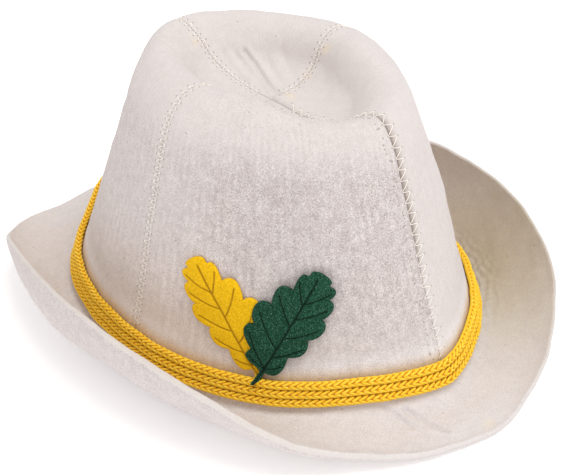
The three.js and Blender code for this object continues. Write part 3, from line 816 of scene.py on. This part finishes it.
at_rim, flared = bell(from_rim, 0, RIM_REACH), hump(angle, *FLARE_ANGLE)
outer = middle + out * (FELT / 2 + RIM_FLARE * flared * at_rim + lift - rounded)[..., None]
inner = middle + out * (lift - FELT / 2 + RIM_PRESSED * (1 - flared) * at_rim + rounded)[..., None]
for grid in (outer, inner):
    grid[..., 2] = np.maximum(grid[..., 2], TABLE_GAP)
near = hump(angle, *BRIM_BOUNCE_ANGLE)
brim_shade = hump(angle, *BRIM_SHADE_ANGLE) * (1 - BRIM_SHADE_LESS * smoothstep(from_foot, *BRIM_SHADE_FOOT))
painted_light = BRIM_LIGHT * (1 - smoothstep(from_foot, *BRIM_LIGHT_FOOT))
painted_light = painted_light + FRONT_LIGHT * hump(angle, *FRONT_LIGHT_ANGLE)
tint = tinted(0 * near, BRIM_BOUNCE_SHADE * near, brim_shade, painted_light, middle)
tint = np.concatenate([tint.reshape(-1, 3), np.ones((angle.size, 3))])
calm = np.tile((BRIM_CALM - BRIM_ROUGH * near).ravel(), 2)
marks = {"tint": tint, "needle": np.zeros(2 * angle.size), "calm": calm}
piece("felt_brim", [sheet(outer, inner, felt_face, felt_cut, ring=True)], ["brim"], "felt", **marks)

# %% [markdown]
# The seams are sewn with a cream zigzag stitch, two crossings to every 5 mm at the front and finer at
# the other seams: one crossing runs nearly straight over the groove and the next slants back. Every
# crossing is modelled as a short thread that rises out of one needle hole, bridges the groove and
# dives into the next. The shade in the needle holes is painted: small dark pegs stand in the felt. On
# the front seam a second row of these pricks lies further out, and near its foot the thread sinks into the
# pile.

# %% Seam thread
# The thread's plies turn once in about 0.7 mm, and the grain of the painted shade in the needle holes is 0.5
# mm
thread = mottled(
    "cream sewing thread",
    {"Scale": grain(0.7), "Detail": 2.0},
    [(0.3, "#FAF1E2"), (0.7, "#FFFDF8")],
    Roughness=0.55,
    Sheen_Weight=0.1,
)
# Painted shade in the needle holes, on small dark pegs
hole_shade = mottled(
    "painted shade of a needle hole",
    {"Scale": grain(0.5), "Detail": 2.0},
    [(0.3, "#9A8D84"), (0.7, "#BBB0A7")],
    Roughness=1.0,
)
print("made", thread.name, "and", hole_shade.name)

# %% [markdown]
# A seam is a list of knots, the places where the needle went in: how far up the seam, and how far
# aside of it. No stitch is exact, so every knot slips a little, by random numbers with a fixed start.
# Each crossing is a thin tube from one knot to the next, and each needle hole a short dark peg in the felt,
# painted shade in the hole.

# %% The seams
# Angle, reach to both sides, length of a pair of crossings, how high and thick the thread is, how far
# out a second row of pricks lies, and how far up from the foot the thread is buried in the pile
SEAMS = {
    "front": (0.0, (-3.4, 1.3), 5.0, 0.34, 0.17, 4.2, 55),
    "right": (SIDE_SEAM, (-2.1, 2.1), 3.3, 0.2, 0.15, 0, 1),
    "back": (180.0, (-1.9, 1.9), 3.4, 0.18, 0.14, 0, 1),
    "left": (360 - SIDE_SEAM, (-2.0, 2.0), 3.4, 0.18, 0.14, 0, 1),
}
SEAM_FROM, SEAM_TO, SEAM_PROBES = 0.07, 3.9, 400  # from and to in bends of the crown's section
DEGREE_LEAST = 0.12  # mm, near the dent's middle
STRAIGHTER = 0.3  # share of a pair's length that the straighter crossing takes
KNOT_SLIP, REACH_SLIP, PRICK_SLIP_UP, PRICK_SLIP_OUT = 0.13, 0.17, 0.8, 0.7
THREAD_POINTS, THREAD_SIDES, ENDS_SUNK = 8, 5, 0.14
# The share of its rise that a buried thread keeps, and the share of that stretch where it lies lowest
BURIED_RISE, BURIED_FROM = 0.3, 0.4
PRICK_SIDES, PRICK_DEEP, PRICK_PROUD = 6, 0.35, 0.07
PRICK_OUT, PRICK_SIZE, FAR_PRICK_SIZE = 1.12, 0.38, 0.42


def seam_thread(name, seam_angle, reach, pair, rise, radius, pricks_at, buried, side):
    """The zigzag of one seam on one side of the felt, 1 outside and -1 inside."""
    probe = np.linspace(SEAM_FROM, SEAM_TO, SEAM_PROBES)
    run = run_along(crown_at(np.full(SEAM_PROBES, seam_angle), probe))
    degree = degree_of(crown_at, seam_angle, probe)

    def on_felt(arc, aside):
        along = np.interp(arc, run, probe)
        angle = seam_angle + aside / np.maximum(np.interp(along, probe, degree), DEGREE_LEAST)
        middle, out = crown_at(angle, along), out_of(crown_at, angle, along)
        return middle, out, side * (FELT / 2 - seam_dip(np.abs(aside)) * (side > 0)) + relief(middle)

    count = 2 * int(run[-1] / pair) - 1
    order = np.arange(count + 1)
    knots = pair * ((order + 1) // 2 - STRAIGHTER * (order % 2)) + rng.normal(0, KNOT_SLIP, count + 1)
    asides = np.where(order % 2, *reach) + rng.normal(0, REACH_SLIP, count + 1)
    step = np.linspace(0, 1, THREAD_POINTS)
    arc = knots[:-1, None] + (knots[1:] - knots[:-1])[:, None] * step
    aside = asides[:-1, None] + (asides[1:] - asides[:-1])[:, None] * step
    middle, out, lift = on_felt(arc, aside)
    height = rise * (BURIED_RISE + (1 - BURIED_RISE) * smoothstep(arc, BURIED_FROM * buried, buried))
    threads = middle + out * (lift + side * (height * np.sin(np.pi * step) ** 0.5 - ENDS_SUNK))[..., None]
    parts = [tubes(threads, out, radius, THREAD_SIDES, thread)]
    if side > 0:
        # Dark pegs at the needle holes: painted shade
        rows = [(knots, asides * PRICK_OUT, PRICK_SIZE)]
        if pricks_at:
            slipped = knots + rng.normal(0, PRICK_SLIP_UP, len(knots))
            rows.append((slipped, pricks_at + rng.normal(0, PRICK_SLIP_OUT, len(knots)), FAR_PRICK_SIZE))
        for at, beside, size in rows:
            middle, out, lift = on_felt(at, beside)
            ends = [middle + out * (lift + end)[:, None] for end in (-PRICK_DEEP, PRICK_PROUD)]
            parts.append(tubes(np.stack(ends, axis=1), np.ones((len(at), 2, 3)), size, PRICK_SIDES, hole_shade))
    piece(name, parts, [], "felt")


for seam, values in SEAMS.items():
    seam_thread(f"seam_thread_{seam}", *values, 1)
    seam_thread(f"seam_thread_{seam}_inside", *values, -1)

# %% [markdown]
# The hat band is three knitted cords side by side. A knitted cord is one yarn that runs round and
# round in loops, two to a turn, each loop pulled through the one below. Here the yarn is drawn
# exactly so: one long path that swings along the cord as it circles it, so the slanting legs of the
# loops lie outside and make the chain of small Vs. A plain core fills the middle, as packed yarn does;
# it is darker than the yarn, as painted shade between the loops.

# %% The yarn
# The fluff of the yarn is about 0.8 mm apart
yarn = mottled(
    "golden acrylic yarn",
    {"Scale": grain(0.77), "Detail": 3.0, "Roughness": 0.7},
    [(0.3, "#FBB616"), (0.5, "#FFD02D"), (0.7, "#FFE564")],
    nap=(0.4, 0.0003),
    Roughness=0.7,
    Sheen_Weight=0.05,
    Specular_IOR_Level=0.25,
)
# The core's darker colour is painted shade between the loops
core_yarn = mottled(
    "yarn inside the cord in painted shade",
    {"Scale": grain(0.77), "Detail": 2.0},
    [(0.3, "#BE7A04"), (0.7, "#D68F0A")],
    Roughness=0.95,
)
print("made", yarn.name, "and", core_yarn.name)

# %% [markdown]
# The cord is measured first, so that a whole number of loops fits round it. Then the yarn's path is
# worked out loop by loop: it goes round the cord once in two loops, and swings forth and back along it
# by three quarters of a loop's height. The loops' heads lie a little deeper than their legs.

# %% The knitted cords
CORD_DIAMETER, CORD_GAP, CORD_SEAT = 3.8, 0.3, 0.9
GORE_FACE = FELT / 2 + SEAM_GAP / 2
COURSE, WALES, YARN = 3.15, 2, 0.57  # a loop's height, loops to a turn, and half the yarn's thickness
SWING, LEG_BOW = 0.76, 0.04  # shares of a loop's height and width
LEGS_PROUD, HEADS_SUNK = 0.15, 0.3
LOOP_POINTS, YARN_SIDES, CORE_SIDES, CORE_INSET = 12, 7, 12, 0.5


def cord_frame(angle, height):
    """The middle of a cord, and the ways out of the hat and up, at any angle round it."""
    height = np.full(np.shape(angle), height)
    wall, out = wall_at(angle, height), out_of(wall_at, angle, height)
    lift = GORE_FACE + CORD_GAP + CORD_DIAMETER / 2 + relief(wall)
    return wall + out * lift[..., None], out, unit(wall_at(angle, height + 1) - wall)


def cord(name, node, height):
    probe = np.linspace(0, 360, 721)  # every half degree
    run = run_along(cord_frame(probe, height)[0])
    courses = round(run[-1] / COURSE)
    turn = np.arange(courses * WALES * LOOP_POINTS) * 2 * np.pi / LOOP_POINTS
    loop = turn / (2 * np.pi)
    around = 2 * np.pi * (loop - LEG_BOW * np.sin(2 * turn)) / WALES
    course = (loop / WALES + SWING * np.cos(turn)) % courses
    angle = np.interp(course / courses * run[-1], run, probe)
    centre, out, upward = cord_frame(angle, height)
    way = np.cos(around)[:, None] * out + np.sin(around)[:, None] * upward
    far = CORD_DIAMETER / 2 - YARN + LEGS_PROUD - HEADS_SUNK * np.maximum(np.cos(turn), 0) ** 2
    knit = tubes((centre + way * far[:, None])[None], way[None], YARN, YARN_SIDES, yarn, closed=True)
    centre, out, _ = cord_frame(np.arange(360.0), height)
    core_radius = CORD_DIAMETER / 2 - CORE_INSET
    core = tubes(centre[None], out[None], core_radius, CORE_SIDES, core_yarn, closed=True)
    print(f"{name}: {run[-1]:.0f} mm round, {courses} courses")
    piece(name, [knit, core], [node], "cord")


for i, node in enumerate(["cord_lower", "cord_middle", "cord_upper"]):
    cord("knitted_" + node, node, CORD_SEAT + i * (CORD_DIAMETER + CORD_GAP))

# %% [markdown]
# The leaves are die-cut from 1.5 mm craft felt, and their veins are pressed in by the die. Each leaf
# is drafted flat: lobes along a midrib, from the same tables as the solids. Then it is laid on the
# wall. The veins are curves from the midrib into every lobe. They press the surface in, and they are
# kept as an attribute too, so that the felt can be darker in them, as painted shade in the pressed lines.

# %% The leaves' draft
LEAF_FELT, LEAF_GAP, LEAF_LENGTH, LEAF_WIDTH = 1.5, 0.3, 52.0, 33.0
LOBE_LEAN, LEAN_FADE, STEM_LENGTH, STEM_WIDTH = 0.3, 0.11, 3.5, 2.0
LEAF_ANGLE, STEM_CLEAR, STEM_END = 53.0, 0.5, 6.4
BAND_TOP = CORD_SEAT + 2 * (CORD_DIAMETER + CORD_GAP) + CORD_DIAMETER / 2
# Each lobe as (its end along the midrib, how far it reaches out, how far the notch behind it does),
# as shares of the leaf's length and of half its width
FRONT_LOBES = [
    (0.19, 0.42, 0.08),
    (0.38, 0.7, 0.36),
    (0.59, 0.86, 0.54),
    (0.77, 0.78, 0.6),
    (0.89, 0.62, 0.53),
    (1.0, 0.38, 0.4),
]
BACK_LOBES = [
    (0.08, 0.62, 0.08),
    (0.25, 1.0, 0.56),
    (0.49, 1.07, 0.78),
    (0.72, 0.82, 0.7),
    (0.9, 0.47, 0.43),
    (1.0, 0.25, 0.3),
]


def lobe_reach(lobes, share):
    """Half of the leaf's width: rounded lobes with notches between them."""
    ends, reach, notch = np.array(lobes).T
    i = np.minimum(np.searchsorted(ends, share), len(ends) - 1)
    start = np.concatenate([[0], ends])[i]
    place = np.clip((share - start) / (ends[i] - start), 0, 1)
    low = notch[i] + (np.concatenate([notch[1:], [0]])[i] - notch[i]) * place
    return LEAF_WIDTH / 2 * (low + (reach[i] - low) * np.sqrt(np.maximum(0, 1 - (2 * place - 1) ** 2)))


def leaf_draft(turned_over, along, across):
    """Lengths along the midrib and out from it, on the flat leaf. across is 1 at its front edge."""
    lobes = [FRONT_LOBES, BACK_LOBES] if turned_over else [BACK_LOBES, FRONT_LOBES]
    share = np.maximum(along, 0) / LEAF_LENGTH
    reach = np.where(across < 0, lobe_reach(lobes[0], share), lobe_reach(lobes[1], share))
    reach = np.maximum(reach, STEM_WIDTH / 2)
    fade = LEAN_FADE * LEAF_LENGTH
    lean = LOBE_LEAN * reach * np.abs(across) * smoothstep(along, 0, fade)
    lean = lean * smoothstep(LEAF_LENGTH - along, 0, fade)
    return along + lean, across * reach


print("half width in the middle:", lobe_reach(BACK_LOBES, np.array([0.5])).round(1), "mm")

# %% [markdown]
# An oak leaf's veins leave the midrib at a slant and run into the lobes. Each is a short curve on the
# flat leaf, and its distance from a point says how deep the die has pressed the felt there.

# %% The leaves' veins
MIDRIB_WIDTH, MIDRIB_END, VEIN_WIDTH = 0.45, 0.93, 0.3
MIDRIB_POINTS, VEIN_POINTS = 9, 7
VEIN_REACH, VEIN_BOW = 0.82, 0.12  # shares of a lobe's reach
VEIN_FORWARD, VEIN_FIRST = 0.13, 0.03  # how far a vein runs forward and where the first starts, of the length


def veins(turned_over):
    """The midrib and a vein into every lobe, as polylines on the flat leaf, with their widths."""
    forth = np.linspace(-STEM_END, MIDRIB_END * LEAF_LENGTH, MIDRIB_POINTS)
    midrib = np.stack([forth, np.zeros(MIDRIB_POINTS)], axis=1)
    lines = [(midrib, MIDRIB_WIDTH)]
    share = np.linspace(0, 1, VEIN_POINTS)
    for across in (-1, 1):
        lobes = FRONT_LOBES if (across < 0) == turned_over else BACK_LOBES
        start = 0
        for end, reach, _ in lobes[:-1]:
            middle = (start + end) / 2
            tip = np.array(middle * LEAF_LENGTH), np.array(VEIN_REACH * across)
            tip_along, tip_out = leaf_draft(turned_over, *tip)
            root = max(VEIN_FIRST, middle - VEIN_FORWARD) * LEAF_LENGTH
            bow = VEIN_BOW * reach * LEAF_WIDTH * share * (1 - share)
            vein = np.stack([root + (tip_along - root) * share - bow, tip_out * share], axis=1)
            lines.append((vein, VEIN_WIDTH))
            start = end
    return lines


def pressed(lines, forth, aside):
    """1 in the middle of a vein, falling to 0 beside it."""
    place = np.stack([forth, aside], axis=-1)
    return np.max([bell(from_line(place, line), 0, width) for line, width in lines], axis=0)


print("veins and midrib of a leaf:", len(veins(False)))

# %% [markdown]
# Craft felt is a thin, dyed felt of acrylic fibres, pressed flat, with hardly any shine. Its hairs catch
# the light as tiny pale flecks, which show most on the dark green.

# %% Craft felt
MAT, FLUFF = 0.9, 0.38  # sizes of its grain and of single fibres, in millimetres
FLECKS_FROM, FLECKS_FULL, FLECKS_SHOW = 0.55, 0.68, 0.6


def craft_felt(name, stops, vein_shade_colour, fleck_colour):
    """Dyed felt that is darker where the attribute vein is 1, as painted shade in the pressed veins."""
    craft_look = {"Roughness": 0.95, "Sheen_Weight": 0.04, "Sheen_Roughness": 0.5, "Specular_IOR_Level": 0.15}
    made, tree, shader, place = material(name, **craft_look)
    matted = {"Scale": grain(MAT), "Detail": 4.0, "Roughness": 0.7}
    hairs = add(tree, "ShaderNodeTexNoise", {"Vector": place, **matted})
    tone = add(tree, "ShaderNodeValToRGB", {"Fac": (hairs, "Fac")}, stops)
    curly = {"Scale": grain(FLUFF), "Detail": 2.0, "Distortion": 1.5}
    fluff = add(tree, "ShaderNodeTexNoise", {"Vector": place, **curly})
    catch = {"From Min": FLECKS_FROM, "From Max": FLECKS_FULL, "To Max": FLECKS_SHOW}
    light = add(tree, "ShaderNodeMapRange", {"Value": (fluff, "Fac"), **catch})
    flecks = {0: (light, "Result"), 6: (tone, "Color"), 7: linear(fleck_colour)}
    flecked = add(tree, "ShaderNodeMix", flecks, data_type="RGBA")
    vein = add(tree, "ShaderNodeAttribute", attribute_name="vein")
    vein_shade_mix = {0: (vein, "Fac"), 6: (flecked, 2), 7: linear(vein_shade_colour)}
    vein_shaded = add(tree, "ShaderNodeMix", vein_shade_mix, data_type="RGBA")
    finish(tree, shader, (vein_shaded, 2), (hairs, "Fac"), strength=0.5, depth=0.0004)
    return made


YELLOW_TONES = [(0.3, "#D29A04"), (0.5, "#E9B40A"), (0.7, "#F8CC1C")]
GREEN_TONES = [(0.3, "#042918"), (0.5, "#0A3522"), (0.7, "#174D37")]
# The third colour of each is its painted shade in the pressed veins
yellow_felt = craft_felt("yellow craft felt", YELLOW_TONES, "#9A6A0C", "#FFDC40")
green_felt = craft_felt("green craft felt", GREEN_TONES, "#01160D", "#6FA890")
print("made", yellow_felt.name, "and", green_felt.name)

# %% [markdown]
# Laying a leaf on the hat turns its two flat lengths into an angle round the wall and a height above
# the foot. The green leaf lies on the yellow one, and its stem bends out over the uppermost cord. The
# blade is a little thicker in its middle, and its cut edge is soft.

# %% The oak leaves
STEM_ROWS, LOBE_ROWS, BLADE_ROWS, LEAF_COLUMNS = 12, 8, 150, 97
HIDDEN_STEM = 0.2  # where the turned-over leaf's stem stays, behind the other leaf
STEM_BEND, STEM_TOUCH, STEM_THINNER = (2.4, 5.4), 0.2, 0.3
EDGE_SOFT, BLADE_SWELL, SWELL_FROM_EDGE, VEIN_DEPTH = 0.45, 0.3, 3, 0.5


def leaf_rows():
    """Lengths along the midrib. They crowd where lobes end, so that the notches stay sharp."""
    marks = np.unique([0] + [end for end, _, _ in FRONT_LOBES + BACK_LOBES])
    rows = [np.linspace(-STEM_END, 0, STEM_ROWS)]
    for low, high in zip(marks[:-1], marks[1:]):
        count = max(LOBE_ROWS, round((high - low) * BLADE_ROWS))
        eased = (1 - np.cos(np.pi * np.arange(1, count + 1) / count)) / 2
        rows.append(LEAF_LENGTH * (low + (high - low) * eased))
    return np.concatenate(rows)


def leaf(name, node, lean, ahead, turned_over, under, leaf_material):
    """lean is its turn towards the front, ahead where its stem starts, under the leaves below it."""
    columns = np.sin(np.pi / 2 * np.linspace(1, -1, LEAF_COLUMNS))
    along, across = np.meshgrid(leaf_rows(), columns, indexing="ij")
    forth, aside = leaf_draft(turned_over, along, across)
    turn, foot = math.radians(lean), np.clip(1 + along / STEM_LENGTH, -1, 1)
    forward = ahead * STEM_LENGTH * np.maximum(foot, HIDDEN_STEM if turned_over else -1)
    forward = forward + np.maximum(forth, 0) * math.sin(turn)
    forward = forward + aside * np.where(along < 0, 1, math.cos(turn))
    upward = STEM_LENGTH * np.minimum(foot, 1) + np.maximum(forth, 0) * math.cos(turn)
    upward = upward - np.where(along < 0, 0, aside * math.sin(turn))
    height = BAND_TOP + STEM_CLEAR + upward
    angle = LEAF_ANGLE - forward / degree_of(wall_at, LEAF_ANGLE, height)
    wall, out = wall_at(angle, height), out_of(wall_at, angle, height)
    seat = GORE_FACE + LEAF_GAP + under * (LEAF_FELT + LEAF_GAP)
    over_cord = GORE_FACE + CORD_GAP + CORD_DIAMETER - seat - STEM_TOUCH
    low = seat + relief(wall) + over_cord * smoothstep(-along, *STEM_BEND)
    widest = np.abs(leaf_draft(turned_over, along, np.sign(across + 1e-9))[1])
    from_edge = (1 - np.abs(across)) * widest
    edge = EDGE_SOFT * bell(from_edge, 0, EDGE_SOFT)
    vein = pressed(veins(turned_over), forth, aside)
    swell = BLADE_SWELL * np.clip(from_edge / SWELL_FROM_EDGE, 0, 1) * (along > 0)
    top = low + LEAF_FELT - np.where(along < 0, STEM_THINNER, 0) + swell - edge
    top = top - VEIN_DEPTH * vein * (along > 0)
    outer, inner = wall + out * top[..., None], wall + out * (low + edge * 0.5)[..., None]
    vein_shaded = np.concatenate([vein.ravel(), 0 * vein.ravel()])
    piece(name, [sheet(outer, inner, leaf_material, leaf_material)], [node], node, vein=vein_shaded)


leaf(
    "felt_leaf_yellow",
    "leaf_yellow",
    lean=-31,
    ahead=-0.7,
    turned_over=True,
    under=0,
    leaf_material=yellow_felt,
)
leaf(
    "felt_leaf_green",
    "leaf_green",
    lean=29,
    ahead=0.6,
    turned_over=False,
    under=1,
    leaf_material=green_felt,
)

# %% [markdown]
# A product photograph of a pale hat needs a pale floor and broad soft light. A large lamp high above
# the front models the crown, a weaker one from the left opens the shadows, and the white world does
# the rest. The table top glows a little, as one lit from below does, so the ground stays white. It is
# a stage, not a part of the hat.

# %% Floor and light
TABLE_HALF = 6  # metres, so that its edges lie far outside the picture
AIM = (0, 0, 0.06)  # the hat's middle, in metres
table_top = mottled(
    "pale glowing table top",
    {"Scale": grain(330), "Detail": 2.0},
    [(0.3, "#F6F6F7"), (0.7, "#FAFAFB")],
    Roughness=0.9,
    Emission_Color=linear("#FFFFFF"),
    Emission_Strength=0.25,
)
floor_mesh = bpy.data.meshes.new("floor")
corners = [(x * TABLE_HALF, y * TABLE_HALF, 0) for x, y in ((-1, -1), (1, -1), (1, 1), (-1, 1))]
floor_mesh.from_pydata(corners, [], [(0, 1, 2, 3)])
floor_mesh.materials.append(table_top)
floor = bpy.data.objects.new("floor", floor_mesh)
bpy.context.scene.collection.objects.link(floor)


def lamp(name, place, size, watts, colour):
    """A round lamp that looks at the hat. Place and size are in metres."""
    data = bpy.data.lights.new(name, "AREA")
    data.shape, data.size, data.energy, data.color = "DISK", size, watts, linear(colour)[:3]
    made = bpy.data.objects.new(name, data)
    bpy.context.scene.collection.objects.link(made)
    forward = unit(np.array(AIM) - np.array(place))
    right = unit(np.cross(forward, [0, 0, 1.0]))
    turn = np.eye(4)
    turn[:3, 0], turn[:3, 1], turn[:3, 2], turn[:3, 3] = right, np.cross(right, forward), -forward, place
    made.matrix_world = Matrix(turn.tolist())


lamp("key", place=(0.2, -0.72, 2.25), size=1.6, watts=26.5, colour="#FBFFFD")
lamp("fill", place=(-1.7, -0.7, 0.6), size=1.5, watts=3.2, colour="#FFFFFF")
world = bpy.data.worlds.new("white room")
world.use_nodes = True
bpy.context.scene.world = world
world.node_tree.nodes["Background"].inputs["Color"].default_value = linear("#FFFDFB")
world.node_tree.nodes["Background"].inputs["Strength"].default_value = 0.77
bpy.context.scene.view_settings.view_transform = "Standard"
print("lamps:", [item.name for item in bpy.data.lights])
